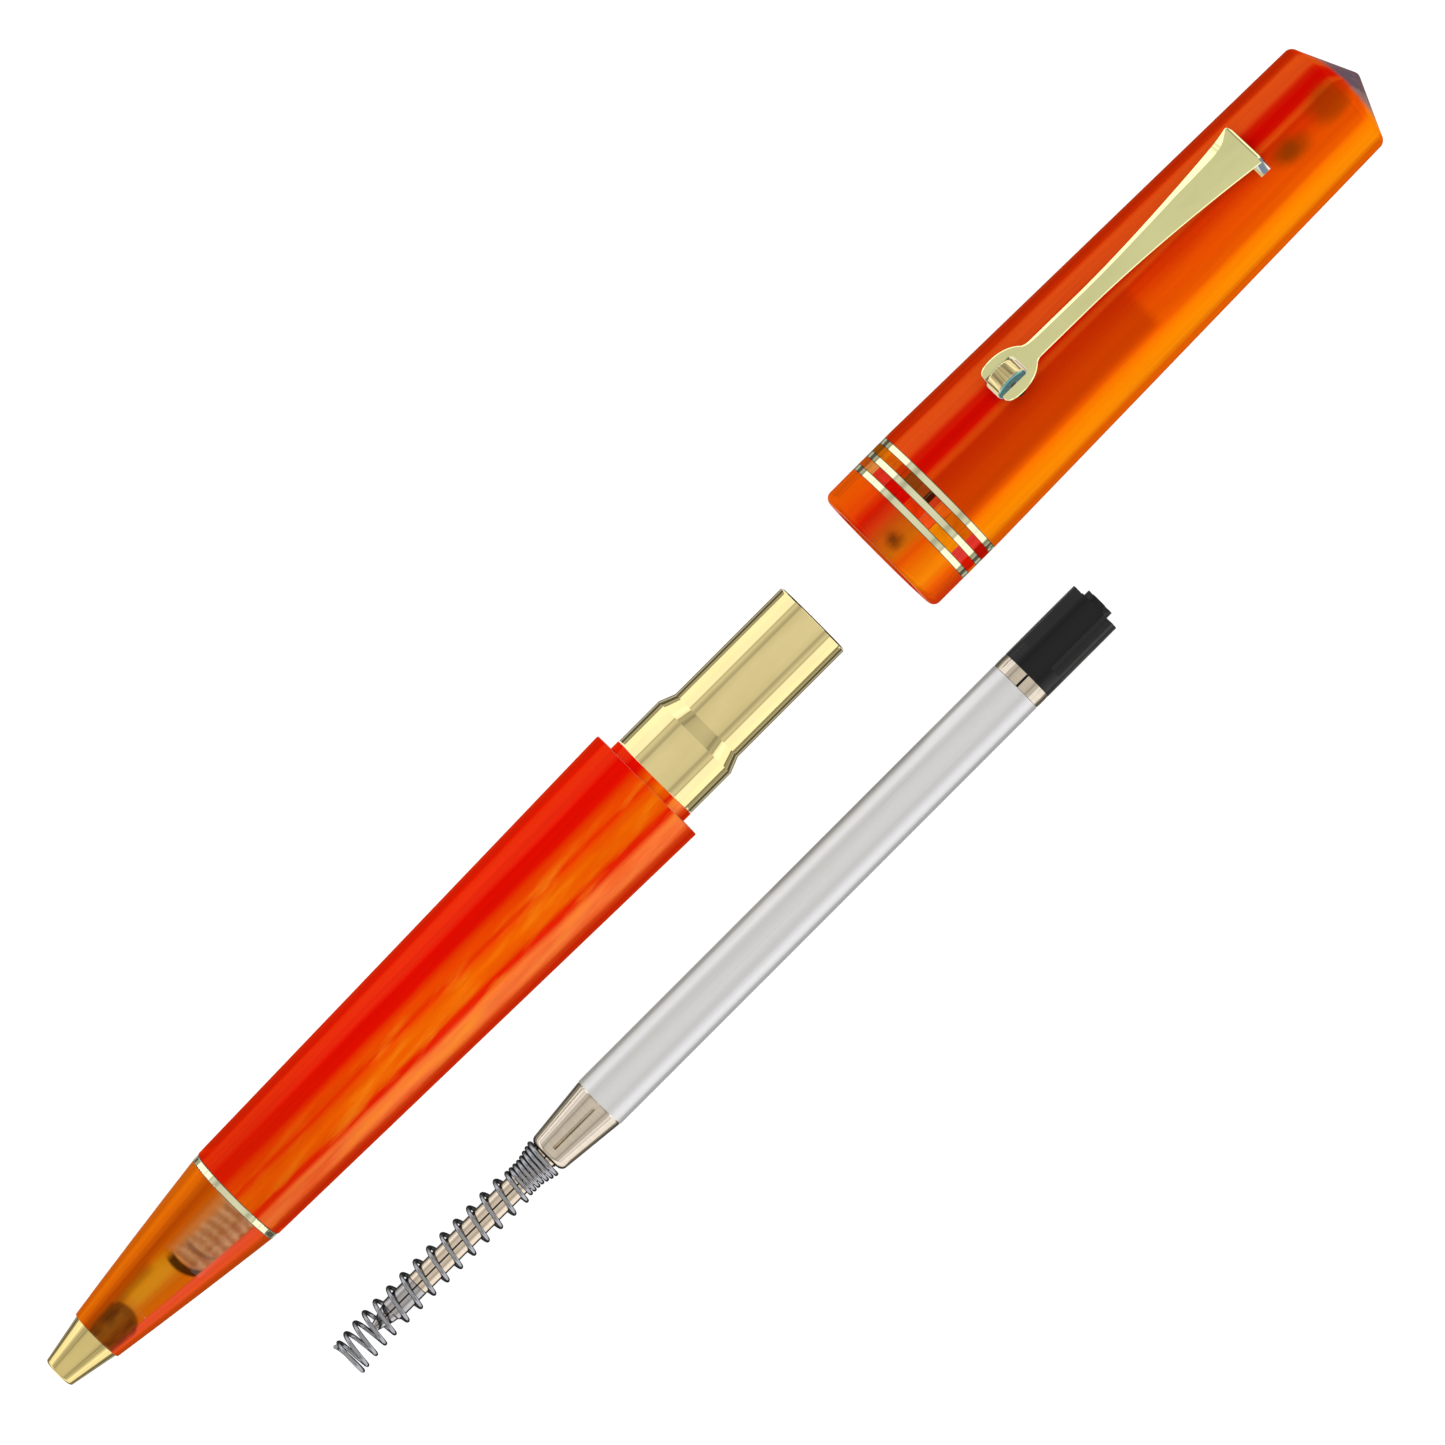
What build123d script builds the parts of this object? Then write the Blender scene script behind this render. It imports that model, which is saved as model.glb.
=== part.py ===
"""A retractable twist-action ballpoint pen, laid out in its three groups.

The lower half (nose, barrel and brass twist mechanism) and the cap lie on one line along X,
nose towards -X. The refill with its spring lies beside the barrel, on the -Y side.
The surface they lie on is Z = 0. Distances along the pen are measured from the nose tip,
those along the cap from its mouth, and those along the refill from its writing point.
"""
import os
from math import cos, radians, sin

from build123d import *

# Places along the pen, from the nose tip
TIP_END = 5.15
TIP_SHANK_END = 9.5
SPRING_SEAT = 4.2
NOSE_END = 23.3
TRIM_END = 24.05
BARREL_END = 78.9
COLLAR_END = 79.9
SHELL_STEP = 85.3
SHELL_NARROW = 86.9
SHELL_END = 101.2

# Radii along the pen
POINT_HOLE_R = 1.25
TIP_FRONT_R = 1.72
TIP_R = 2.65
NOSE_FRONT_R = 2.83
NOSE_REAR_R = 5.27
TRIM_R = 5.3
BARREL_FRONT_R = 5.375
BARREL_REAR_R = 6.6
COLLAR_R = 4.88
SHELL_WIDE_R = 4.835
SHELL_R = 4.2

# The refill's path through the pen, and the tubes around it
THREAD_R = 3.6
THREAD_PITCH = 1.0
THREAD_START = 16.0
LINER_BORE_R = 3.52
LINER_R = 4.1
STATOR_R = 3.52
STATOR_BORE_R = 3.27
CAM_BORE_R = 3.57
CAM_R = 3.95
CARRIAGE_R = 3.22
CARRIAGE_BORE_R = 2.92
RUNNING_GAP = 0.05

# The twist action: the pin starts here and moves forward by the stroke in half a turn
PIN_PLACE = 96.5
PIN_R = 0.55
STROKE = 4.6
CAM_SLOT_R = 0.63
CAM_SLOT_CUTS = 40

# The cap, from its mouth
CAP_MOUTH = 110.0
CAP_R = 7.35
CAP_END_R = 6.4
CAP_TAPER_START = 9.0
CAP_END = 61.0
CAP_BORE_R = 5.4
FINIAL_APEX = 64.25
FINIAL_R = 6.38
MOUTH_BORE_R = 4.95
GRIP_BORE_R = 4.25
GRIP_START = 9.2
CAP_LINER_END = 33.5
CAP_CORE_R = 2.7
CLIP_BORE_START = 49.8
CLIP_BORE_R = 5.0
SCREW_HEAD_START = 48.3
SCREW_HEAD_R = 2.6
SCREW_R = 1.48
RING_WIDTH = 0.75
RING_PLACES = (3.9, 5.64, 7.38)
BAND_CUTS = (
    (4, 14, 44, 77, 105, 135, 165, 200, 235, 270, 307, 327, 338, 349.5),
    (7, 17, 33, 55, 85, 115, 150, 185, 220, 262, 302, 319, 330, 335, 346, 356),
)
BAND_JOINT_DEG = 0.5

# The clip, from the cap's mouth and the pen's axis
CLIP_TURN = 20
CLIP_TOP_R = 9.7
CLIP_THICKNESS = 1.15
CLIP_ROOT = 50.9
CLIP_ROOT_TOP_R = 8.45
CLIP_TAB = 0.95
CLIP_TAB_WIDTH = 5.1
CLIP_TAB_BOTTOM_R = 3.2
CLIP_BLADE_WIDTH = 1.85
CLIP_SLOT = 1.3
CLIP_SLOT_WIDTH = 5.4
CLIP_BEND_R = 0.5
FORK_END = 18.3
FORK_HEAD = 20.9
FORK_R = 2.3
FORK_GAP = 2.45
FORK_GAP_END = 21.7
ROLLER_PLACE = 19.8
ROLLER_HEIGHT = 9.05
ROLLER_R = 1.8
ROLLER_WIDTH = 1.9
AXLE_R = 0.4
AXLE_LENGTH = 4.3

# The refill, from its writing point
REFILL_PLACE = 23.65
REFILL_ASIDE = 18.2
REFILL_R = 2.86
POINT_CONE = 2.4
POINT_END = 6.1
POINT_R = 1.2
TIP_TUBE_END = 23.4
SHOULDER_END = 30.6
SHOULDER_R = 2.08
REFILL_TUBE_END = 86.65
REFILL_BAND_END = 88.2
PLUG_END = 97.4
BOSS_END = 98.1
BOSS_R = 1.55
BOSS_NOTCH = 0.8
PLUG_NECK_R = 2.2
BALL_R = 0.35
SEAM_WIDTH = 0.12
SEAM_DEPTH = 0.15
SHOULDER_SLIT_START = 24.5
SHOULDER_SLIT_WIDTH = 0.35
BAND_SLIT_WIDTH = 0.25
BAND_CROWN = 0.03
FLUTE_START = 90.2
FLUTE_WIDTH = 1.4
FLUTE_DEPTH = 1.3
FLUTE_TURN = 36
WIRE_R = 0.2
SPRING_START = -3.9
SPRING_TURNS = 14
SPRING_COIL_R = 1.78

OVERALL = CAP_MOUTH + FINIAL_APEX
NOSE_X = -OVERALL / 2
PEN_Y = (REFILL_ASIDE + REFILL_R - CAP_R) / 2
PEN_Z = CAP_R


def long_section(x, y, z, turn=0):
    """A plane through the axis, with X along the axis and Y outwards, turned from the top towards +Y."""
    a = radians(turn)
    return Plane(origin=(x, y, z), x_dir=(1, 0, 0), z_dir=(0, -cos(a), sin(a)))


def outward(x, turn=0):
    """A plane on the pen's axis that faces outwards, turned from the top towards +Y."""
    a = radians(turn)
    return Plane(origin=(x, PEN_Y, PEN_Z), x_dir=(1, 0, 0), z_dir=(0, sin(a), cos(a)))


PEN = long_section(NOSE_X, PEN_Y, PEN_Z)
CAP = long_section(NOSE_X + CAP_MOUTH, PEN_Y, PEN_Z)
REFILL = long_section(NOSE_X + REFILL_PLACE, PEN_Y - REFILL_ASIDE, REFILL_R)
CAP_X = CAP.origin.X


def axis_of(frame):
    """The axis that a frame's pieces are turned about."""
    return Axis(frame.origin, frame.x_dir)


def turn(frame, *points):
    """Turn a closed outline of (distance along the axis, radius) points into a solid."""
    with BuildSketch(frame) as profile:
        with BuildLine():
            Polyline(*points, close=True)
        make_face()
    revolve(profile.sketch, axis=axis_of(frame))


def tube(frame, start, end, bore, radius):
    """Turn a plain tube or ring."""
    turn(frame, (start, bore), (end, bore), (end, radius), (start, radius))


def rims(part, radius):
    """The circular edges of a turned part that are at least this large in radius."""
    circles = part.edges().filter_by(GeomType.CIRCLE)
    return circles.filter_by(lambda edge: edge.radius > radius)


def seam(start, end, width, depth, radius):
    """Cut a straight lengthwise seam in the top of a refill piece."""
    with Locations(REFILL.location * Location(((start + end) / 2, radius, 0))):
        Box(end - start, 2 * depth, width, mode=Mode.SUBTRACT)


def keep(piece, name):
    """Name a finished piece and write it."""
    piece.part.label = name
    export_step(piece.part, f"parts/{name}.step")


os.makedirs("parts", exist_ok=True)

# ---- Nose: the gilt tip and the screwed-on acrylic cone ----

with BuildPart() as nose_tip:
    with BuildSketch(PEN):
        with BuildLine():
            l1 = Line((0, POINT_HOLE_R), (0, TIP_FRONT_R - 0.3))
            l2 = ThreePointArc(l1 @ 1, (0.09, TIP_FRONT_R - 0.09), (0.3, TIP_FRONT_R))
            l3 = Polyline(
                l2 @ 1,
                (TIP_END, TIP_R),
                (TIP_END, 2.4),
                (TIP_SHANK_END - 0.3, 2.4),
                (TIP_SHANK_END, 2.2),
                (TIP_SHANK_END, 2.05),
                (SPRING_SEAT, 2.05),
                (SPRING_SEAT, POINT_HOLE_R),
                l1 @ 0,
            )
        make_face()
    revolve(axis=axis_of(PEN))
keep(nose_tip, "nose_tip")

with BuildPart() as nose_section:
    with BuildSketch(PEN):
        with BuildLine():
            l1 = ThreePointArc((TIP_END, NOSE_FRONT_R), (14.2, 4.1), (NOSE_END, NOSE_REAR_R))
            l2 = Polyline(
                l1 @ 1,
                (NOSE_END, THREAD_R + RUNNING_GAP),
                (THREAD_START - 0.6, THREAD_R + RUNNING_GAP),
                (THREAD_START - 1.2, 3.0),
                (TIP_SHANK_END + 0.3, 2.42),
                (TIP_END, 2.42),
                l1 @ 0,
            )
        make_face()
    revolve(axis=axis_of(PEN))
keep(nose_section, "nose_section")

with BuildPart() as trim_ring:
    tube(PEN, NOSE_END, TRIM_END, THREAD_R + 0.1, TRIM_R)
    fillet(rims(trim_ring, 5), radius=0.12)
keep(trim_ring, "trim_ring")

# ---- Barrel: the acrylic body on its brass tube, with the threaded coupler in front ----

with BuildPart() as barrel:
    turn(
        PEN,
        (TRIM_END, LINER_R),
        (BARREL_END - 2, LINER_R),
        (BARREL_END - 2, COLLAR_R),
        (BARREL_END, COLLAR_R),
        (BARREL_END, BARREL_REAR_R),
        (TRIM_END, BARREL_FRONT_R),
    )
    fillet(rims(barrel, 5.3), radius=0.15)
keep(barrel, "barrel")

with BuildPart() as barrel_liner:
    tube(PEN, TRIM_END, BARREL_END - 2, LINER_BORE_R, LINER_R)
keep(barrel_liner, "barrel_liner")

with BuildPart() as coupler:
    tube(PEN, THREAD_START, NOSE_END + 8.7, 3.0, LINER_BORE_R)
    for i in range(6):
        crest = THREAD_START + 0.4 + i * THREAD_PITCH
        turn(
            PEN,
            (crest, LINER_BORE_R - 0.3),
            (crest + 0.7, LINER_BORE_R - 0.3),
            (crest + 0.45, THREAD_R),
            (crest + 0.25, THREAD_R),
        )
    tube(PEN, NOSE_END - 0.5, TRIM_END, 3.3, THREAD_R)
keep(coupler, "coupler")

with BuildPart() as collar:
    tube(PEN, BARREL_END - 2, COLLAR_END, STATOR_R, COLLAR_R)
keep(collar, "collar")

# ---- Twist mechanism: the fixed slotted tube, and the brass shell that turns round it ----

with BuildPart() as stator_tube:
    tube(PEN, BARREL_END - 12, SHELL_END - 0.9, STATOR_BORE_R, STATOR_R)
    tube(PEN, COLLAR_END + 0.6, SHELL_STEP - 0.9, STATOR_BORE_R, SHELL_WIDE_R - 0.3)
    with Locations(outward(NOSE_X + PIN_PLACE - STROKE / 2)):
        Box(
            STROKE + 2 * CAM_SLOT_R,
            2 * CAM_SLOT_R,
            STATOR_R + 1,
            align=(Align.CENTER, Align.CENTER, Align.MIN),
            mode=Mode.SUBTRACT,
        )
keep(stator_tube, "stator_tube")

with BuildPart() as mechanism_shell:
    turn(
        PEN,
        (COLLAR_END + 0.05, SHELL_WIDE_R - 0.25),
        (SHELL_STEP, SHELL_WIDE_R - 0.25),
        (SHELL_NARROW, CAM_R),
        (SHELL_END, CAM_R),
        (SHELL_END, SHELL_R - 0.15),
        (SHELL_END - 0.15, SHELL_R),
        (SHELL_NARROW, SHELL_R),
        (SHELL_STEP, SHELL_WIDE_R),
        (COLLAR_END + 0.05, SHELL_WIDE_R),
    )
keep(mechanism_shell, "mechanism_shell")

with BuildPart() as retaining_ring:
    tube(PEN, COLLAR_END + 0.1, COLLAR_END + 0.5, STATOR_R + RUNNING_GAP, SHELL_WIDE_R - 0.25)
keep(retaining_ring, "retaining_ring")

with BuildPart() as thrust_washer:
    tube(PEN, SHELL_STEP - 0.8, SHELL_STEP - 0.2, STATOR_R + RUNNING_GAP, SHELL_WIDE_R - 0.3)
keep(thrust_washer, "thrust_washer")

with BuildPart() as cam_sleeve:
    tube(PEN, SHELL_NARROW + 0.3, SHELL_END - 0.8, CAM_BORE_R, CAM_R)
    slot_steps = [i / (CAM_SLOT_CUTS - 1) for i in range(CAM_SLOT_CUTS)]
    slot_places = [outward(NOSE_X + PIN_PLACE - STROKE * s, turn=-180 * s) for s in slot_steps]
    with Locations(*slot_places):
        Cylinder(
            CAM_SLOT_R,
            CAM_R + 1,
            align=(Align.CENTER, Align.CENTER, Align.MIN),
            mode=Mode.SUBTRACT,
        )
keep(cam_sleeve, "cam_sleeve")

with BuildPart() as shell_end_plug:
    turn(
        PEN,
        (SHELL_END - 0.75, 0),
        (SHELL_END - 0.75, CAM_R),
        (SHELL_END - 0.1, CAM_R),
        (SHELL_END - 0.1, 0),
    )
keep(shell_end_plug, "shell_end_plug")

with BuildPart() as refill_carriage:
    turn(
        PEN,
        (PIN_PLACE - 3.5, CARRIAGE_BORE_R),
        (SHELL_END - 1.45, CARRIAGE_BORE_R),
        (SHELL_END - 1.45, 0),
        (SHELL_END - 0.85, 0),
        (SHELL_END - 0.85, CARRIAGE_R),
        (PIN_PLACE - 3.5, CARRIAGE_R),
    )
    with Locations(outward(NOSE_X + PIN_PLACE)):
        Cylinder(
            PIN_R,
            CARRIAGE_R + 1,
            align=(Align.CENTER, Align.CENTER, Align.MIN),
            mode=Mode.SUBTRACT,
        )
keep(refill_carriage, "refill_carriage")

with BuildPart() as drive_pin:
    with BuildSketch(outward(NOSE_X + PIN_PLACE).offset(CARRIAGE_BORE_R + 0.08)):
        Circle(PIN_R)
    extrude(amount=CAM_R - CARRIAGE_BORE_R - 0.13)
keep(drive_pin, "drive_pin")

# ---- Refill: writing point, tip tube, shoulder, ink tube, band and plug ----

with BuildPart() as point_ball:
    with Locations(REFILL.location * Location((BALL_R, 0, 0))):
        Sphere(BALL_R)
keep(point_ball, "point_ball")

with BuildPart() as writing_point:
    turn(
        REFILL,
        (BALL_R - 0.05, BALL_R + 0.03),
        (BALL_R - 0.05, BALL_R + 0.09),
        (POINT_CONE - 0.5, 0.92),
        (POINT_CONE, 1.02),
        (POINT_CONE + 0.15, POINT_R),
        (POINT_END - 0.1, POINT_R),
        (POINT_END, POINT_R - 0.1),
        (POINT_END, 0.5),
        (POINT_CONE, 0.5),
        (POINT_CONE, 0.15),
        (2 * BALL_R + 0.1, 0.15),
        (2 * BALL_R + 0.1, BALL_R + 0.03),
    )
    seam(POINT_CONE + 0.3, POINT_END, SEAM_WIDTH, SEAM_DEPTH, POINT_R)
keep(writing_point, "writing_point")

with BuildPart() as tip_tube:
    tube(REFILL, POINT_END, TIP_TUBE_END, 0.8, POINT_R)
    seam(POINT_END, TIP_TUBE_END, SEAM_WIDTH, SEAM_DEPTH, POINT_R)
keep(tip_tube, "tip_tube")

with BuildPart() as refill_shoulder:
    with BuildSketch(REFILL):
        with BuildLine():
            l1 = Line((TIP_TUBE_END, 0.9), (TIP_TUBE_END, SHOULDER_R - 0.55))
            l2 = ThreePointArc(
                l1 @ 1,
                (TIP_TUBE_END + 0.18, SHOULDER_R - 0.14),
                (TIP_TUBE_END + 0.6, SHOULDER_R + 0.06),
            )
            Polyline(
                l2 @ 1,
                (SHOULDER_END - 0.15, REFILL_R - 0.06),
                (SHOULDER_END, REFILL_R - 0.12),
                (SHOULDER_END, 1.9),
                l1 @ 0,
            )
        make_face()
    revolve(axis=axis_of(REFILL))
    seam(SHOULDER_SLIT_START, SHOULDER_END, SHOULDER_SLIT_WIDTH, REFILL_R, REFILL_R)
keep(refill_shoulder, "refill_shoulder")

with BuildPart() as refill_tube:
    tube(REFILL, SHOULDER_END, REFILL_TUBE_END, REFILL_R - 0.3, REFILL_R)
keep(refill_tube, "refill_tube")

with BuildPart() as ink_column:
    turn(
        REFILL,
        (SHOULDER_END + 0.1, 0),
        (REFILL_TUBE_END - 5, 0),
        (REFILL_TUBE_END - 5, REFILL_R - 0.35),
        (SHOULDER_END + 0.1, REFILL_R - 0.35),
    )
keep(ink_column, "ink_column")

with BuildPart() as refill_band:
    band_start = REFILL_TUBE_END + 0.05
    with BuildSketch(REFILL):
        with BuildLine():
            l1 = ThreePointArc(
                (band_start, REFILL_R - BAND_CROWN),
                ((band_start + REFILL_BAND_END) / 2, REFILL_R),
                (REFILL_BAND_END, REFILL_R - BAND_CROWN),
            )
            Polyline(l1 @ 1, (REFILL_BAND_END, PLUG_NECK_R), (band_start, PLUG_NECK_R), l1 @ 0)
        make_face()
    revolve(axis=axis_of(REFILL))
    seam(band_start - 0.1, REFILL_BAND_END + 0.1, BAND_SLIT_WIDTH, 1, REFILL_R)
keep(refill_band, "refill_band")

with BuildPart() as refill_plug:
    turn(
        REFILL,
        (REFILL_TUBE_END - 1.5, 0),
        (REFILL_TUBE_END - 1.5, PLUG_NECK_R),
        (REFILL_BAND_END, PLUG_NECK_R),
        (REFILL_BAND_END, REFILL_R),
        (PLUG_END, REFILL_R),
        (PLUG_END, BOSS_R),
        (BOSS_END, BOSS_R),
        (BOSS_END, 0),
    )
    for quarter in range(4):
        around = Location((0, 0, 0), (90 * quarter + FLUTE_TURN, 0, 0))
        with Locations(REFILL.location * around * Location((FLUTE_START, REFILL_R, 0))):
            Box(
                BOSS_END - FLUTE_START,
                2 * FLUTE_DEPTH,
                FLUTE_WIDTH,
                align=(Align.MIN, Align.CENTER, Align.CENTER),
                mode=Mode.SUBTRACT,
            )
        with Locations(REFILL.location * around * Location((BOSS_END, BOSS_R, 0))):
            Box(BOSS_NOTCH, FLUTE_WIDTH, BOSS_NOTCH, mode=Mode.SUBTRACT)
keep(refill_plug, "refill_plug")

with BuildPart() as spring:
    spring_length = TIP_TUBE_END - SPRING_START - 2 * WIRE_R - 0.1
    with BuildLine():
        coil = Helix(
            spring_length / SPRING_TURNS,
            spring_length,
            SPRING_COIL_R,
            center=REFILL.origin + Vector(SPRING_START + WIRE_R, 0, 0),
            direction=(1, 0, 0),
        )
    with BuildSketch(Plane(origin=coil @ 0, z_dir=coil % 0)):
        Circle(WIRE_R)
    sweep(path=coil, is_frenet=True)
keep(spring, "spring")

# ---- Cap: lip, three gilt rings with mosaic bands between them, tube, liner and finial ----

with BuildPart() as cap_lip:
    tube(CAP, 0, RING_PLACES[0], CAP_BORE_R, CAP_R)
    fillet(rims(cap_lip, 7).sort_by(Axis.X)[:1], radius=0.8)
keep(cap_lip, "cap_lip")

for number, place in enumerate(RING_PLACES, start=1):
    with BuildPart() as ring:
        tube(CAP, place, place + RING_WIDTH, CAP_BORE_R, CAP_R)
    keep(ring, f"cap_ring_{number}")

for number, cuts in enumerate(BAND_CUTS, start=1):
    band_start = RING_PLACES[number - 1] + RING_WIDTH
    band_end = RING_PLACES[number]
    with BuildPart() as band:
        for this_cut, next_cut in zip(cuts, cuts[1:] + (cuts[0] + 360,)):
            with BuildSketch(long_section(CAP_X, PEN_Y, PEN_Z, turn=-this_cut)) as block:
                with Locations(((band_start + band_end) / 2, (CAP_BORE_R + CAP_R) / 2)):
                    Rectangle(band_end - band_start, CAP_R - CAP_BORE_R)
            revolve(block.sketch, axis_of(CAP), next_cut - this_cut - BAND_JOINT_DEG)
    keep(band, f"mosaic_band_{number}")

with BuildPart() as cap_tube:
    turn(
        CAP,
        (RING_PLACES[2] + RING_WIDTH, CAP_BORE_R),
        (CAP_LINER_END + 0.2, CAP_BORE_R),
        (CAP_LINER_END + 0.2, CAP_CORE_R),
        (CLIP_BORE_START, CAP_CORE_R),
        (CLIP_BORE_START, CLIP_BORE_R),
        (CAP_END, CLIP_BORE_R),
        (CAP_END, CAP_END_R),
        (CAP_TAPER_START, CAP_R),
        (RING_PLACES[2] + RING_WIDTH, CAP_R),
    )
    with Locations(outward(CAP_X + CLIP_ROOT, turn=CLIP_TURN)):
        Box(
            CLIP_SLOT,
            CLIP_SLOT_WIDTH,
            CAP_R + 1,
            align=(Align.CENTER, Align.CENTER, Align.MIN),
            mode=Mode.SUBTRACT,
        )
keep(cap_tube, "cap_tube")

with BuildPart() as cap_liner:
    turn(
        CAP,
        (0.3, MOUTH_BORE_R),
        (GRIP_START - 1.6, MOUTH_BORE_R),
        (GRIP_START, GRIP_BORE_R),
        (CAP_LINER_END, GRIP_BORE_R),
        (CAP_LINER_END, CAP_BORE_R),
        (0.3, CAP_BORE_R),
    )
keep(cap_liner, "cap_liner")

with BuildPart() as clip_anchor:
    tube(CAP, CLIP_BORE_START, CAP_END - 3.5, SCREW_R + 0.02, CLIP_BORE_R - 0.02)
    with Locations(outward(CAP_X + CLIP_ROOT, turn=CLIP_TURN).offset(CLIP_TAB_BOTTOM_R - 0.3)):
        Box(
            CLIP_SLOT,
            CLIP_SLOT_WIDTH,
            CAP_R,
            align=(Align.CENTER, Align.CENTER, Align.MIN),
            mode=Mode.SUBTRACT,
        )
keep(clip_anchor, "clip_anchor")

with BuildPart() as finial:
    with BuildSketch(CAP):
        with BuildLine():
            l1 = ThreePointArc(
                (CAP_END, FINIAL_R),
                (CAP_END + 0.3, FINIAL_R - 0.13),
                (CAP_END + 0.62, FINIAL_R - 0.6),
            )
            Polyline(
                l1 @ 1,
                (FINIAL_APEX - 0.18, 0.55),
                (FINIAL_APEX - 0.05, 0.25),
                (FINIAL_APEX, 0),
                (CAP_END + 1, 0),
                (CAP_END + 1, SCREW_R + 0.02),
                (CAP_END - 2.5, SCREW_R + 0.02),
                (CAP_END - 2.5, CLIP_BORE_R - 0.02),
                (CAP_END, CLIP_BORE_R - 0.02),
                l1 @ 0,
            )
        make_face()
    revolve(axis=axis_of(CAP))
keep(finial, "finial")

with BuildPart() as finial_screw:
    turn(
        CAP,
        (SCREW_HEAD_START, 0),
        (SCREW_HEAD_START, SCREW_HEAD_R),
        (CLIP_BORE_START, SCREW_HEAD_R),
        (CLIP_BORE_START, SCREW_R),
        (CAP_END + 0.9, SCREW_R),
        (CAP_END + 0.9, 0),
    )
    with Locations(CAP.location * Location((SCREW_HEAD_START, 0, 0))):
        Box(1.4, 0.7, 4, mode=Mode.SUBTRACT)
keep(finial_screw, "finial_screw")

# ---- Clip: a sprung blade with a roller between the prongs of its forked end ----

ROLLER = outward(CAP_X, turn=CLIP_TURN).location * Location(
    (ROLLER_PLACE, 0, ROLLER_HEIGHT), (90, 0, 0)
)

with BuildPart() as clip:
    with BuildSketch(long_section(CAP_X, PEN_Y, PEN_Z, turn=CLIP_TURN)) as clip_side:
        with BuildLine():
            tab_front = CLIP_ROOT - CLIP_TAB / 2
            tab_back = CLIP_ROOT + CLIP_TAB / 2
            Polyline(
                (FORK_END, CLIP_TOP_R),
                (tab_back, CLIP_ROOT_TOP_R),
                (tab_back, CLIP_TAB_BOTTOM_R),
                (tab_front, CLIP_TAB_BOTTOM_R),
                (tab_front, CLIP_ROOT_TOP_R - CLIP_THICKNESS),
                (FORK_END, CLIP_TOP_R - CLIP_THICKNESS),
                close=True,
            )
        make_face()
        fillet(clip_side.vertices().group_by(Axis.X)[-1].sort_by(Axis.Y)[-1], CLIP_BEND_R)
    extrude(amount=FORK_R + 1, both=True)
    with BuildSketch(outward(CAP_X, turn=CLIP_TURN)):
        with BuildLine():
            l1 = Line((FORK_HEAD, CLIP_BLADE_WIDTH / 2), (CLIP_ROOT - 19, CLIP_BLADE_WIDTH / 2))
            l2 = Spline(
                l1 @ 1,
                (CLIP_ROOT - 12.3, 1.25),
                (CLIP_ROOT - 8.3, 1.5),
                (CLIP_ROOT - 4.3, 1.95),
                (CLIP_ROOT - 0.8, CLIP_TAB_WIDTH / 2),
                tangents=[(1, 0), (1.5, 1)],
            )
            Polyline(
                l2 @ 1,
                (CLIP_ROOT + 1, CLIP_TAB_WIDTH / 2),
                (CLIP_ROOT + 1, 0),
                (FORK_HEAD, 0),
                l1 @ 0,
            )
        make_face()
        mirror(about=Plane.XZ)
        with Locations((FORK_HEAD, 0)):
            Circle(FORK_R)
        with Locations(((FORK_END + FORK_HEAD) / 2, 0)):
            Rectangle(FORK_HEAD - FORK_END, 2 * FORK_R - 0.3)
        with Locations(((FORK_END - 1 + FORK_GAP_END) / 2, 0)):
            Rectangle(FORK_GAP_END - FORK_END + 1, FORK_GAP, mode=Mode.SUBTRACT)
    extrude(amount=CLIP_TOP_R + 2, mode=Mode.INTERSECT)
    with Locations(ROLLER):
        Cylinder(AXLE_R, 2 * FORK_R + 2, mode=Mode.SUBTRACT)
keep(clip, "clip")

with BuildPart() as clip_axle:
    with Locations(ROLLER):
        Cylinder(AXLE_R, AXLE_LENGTH)
keep(clip_axle, "clip_axle")

with BuildPart() as clip_roller:
    with Locations(ROLLER):
        Cylinder(ROLLER_R, ROLLER_WIDTH)
        Cylinder(AXLE_R + RUNNING_GAP, ROLLER_WIDTH, mode=Mode.SUBTRACT)
    fillet(clip_roller.edges().filter_by(GeomType.CIRCLE).group_by(SortBy.RADIUS)[-1], radius=0.25)
keep(clip_roller, "clip_roller")
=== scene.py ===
"""Looks for a twist-action ballpoint pen that lies in three groups on a pale studio floor."""
from math import cos, pi, radians, sin, tan

import bmesh
import bpy
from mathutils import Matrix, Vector


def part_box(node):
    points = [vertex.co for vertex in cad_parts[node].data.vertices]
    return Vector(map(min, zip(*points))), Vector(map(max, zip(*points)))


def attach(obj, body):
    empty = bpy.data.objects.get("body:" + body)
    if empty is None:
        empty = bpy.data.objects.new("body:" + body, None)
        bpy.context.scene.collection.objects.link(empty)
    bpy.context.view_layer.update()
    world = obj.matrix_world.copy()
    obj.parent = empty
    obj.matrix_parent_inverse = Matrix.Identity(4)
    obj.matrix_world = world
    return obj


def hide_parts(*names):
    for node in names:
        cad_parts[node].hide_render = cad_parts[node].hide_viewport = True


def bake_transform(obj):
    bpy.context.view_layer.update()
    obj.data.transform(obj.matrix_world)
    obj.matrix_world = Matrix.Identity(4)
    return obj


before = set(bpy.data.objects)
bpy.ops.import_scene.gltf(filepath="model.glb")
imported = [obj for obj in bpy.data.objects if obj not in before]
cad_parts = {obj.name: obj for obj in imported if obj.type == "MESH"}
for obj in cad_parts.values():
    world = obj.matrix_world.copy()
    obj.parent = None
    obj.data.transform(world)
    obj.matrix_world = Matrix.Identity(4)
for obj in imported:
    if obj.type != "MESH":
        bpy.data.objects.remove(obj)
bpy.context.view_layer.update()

MM = 0.001

# ---------------------------------------------------------------- places, from the frame


def centre(node):
    """The middle of a CAD node's box."""
    low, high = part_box(node)
    return (low + high) / 2


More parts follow.
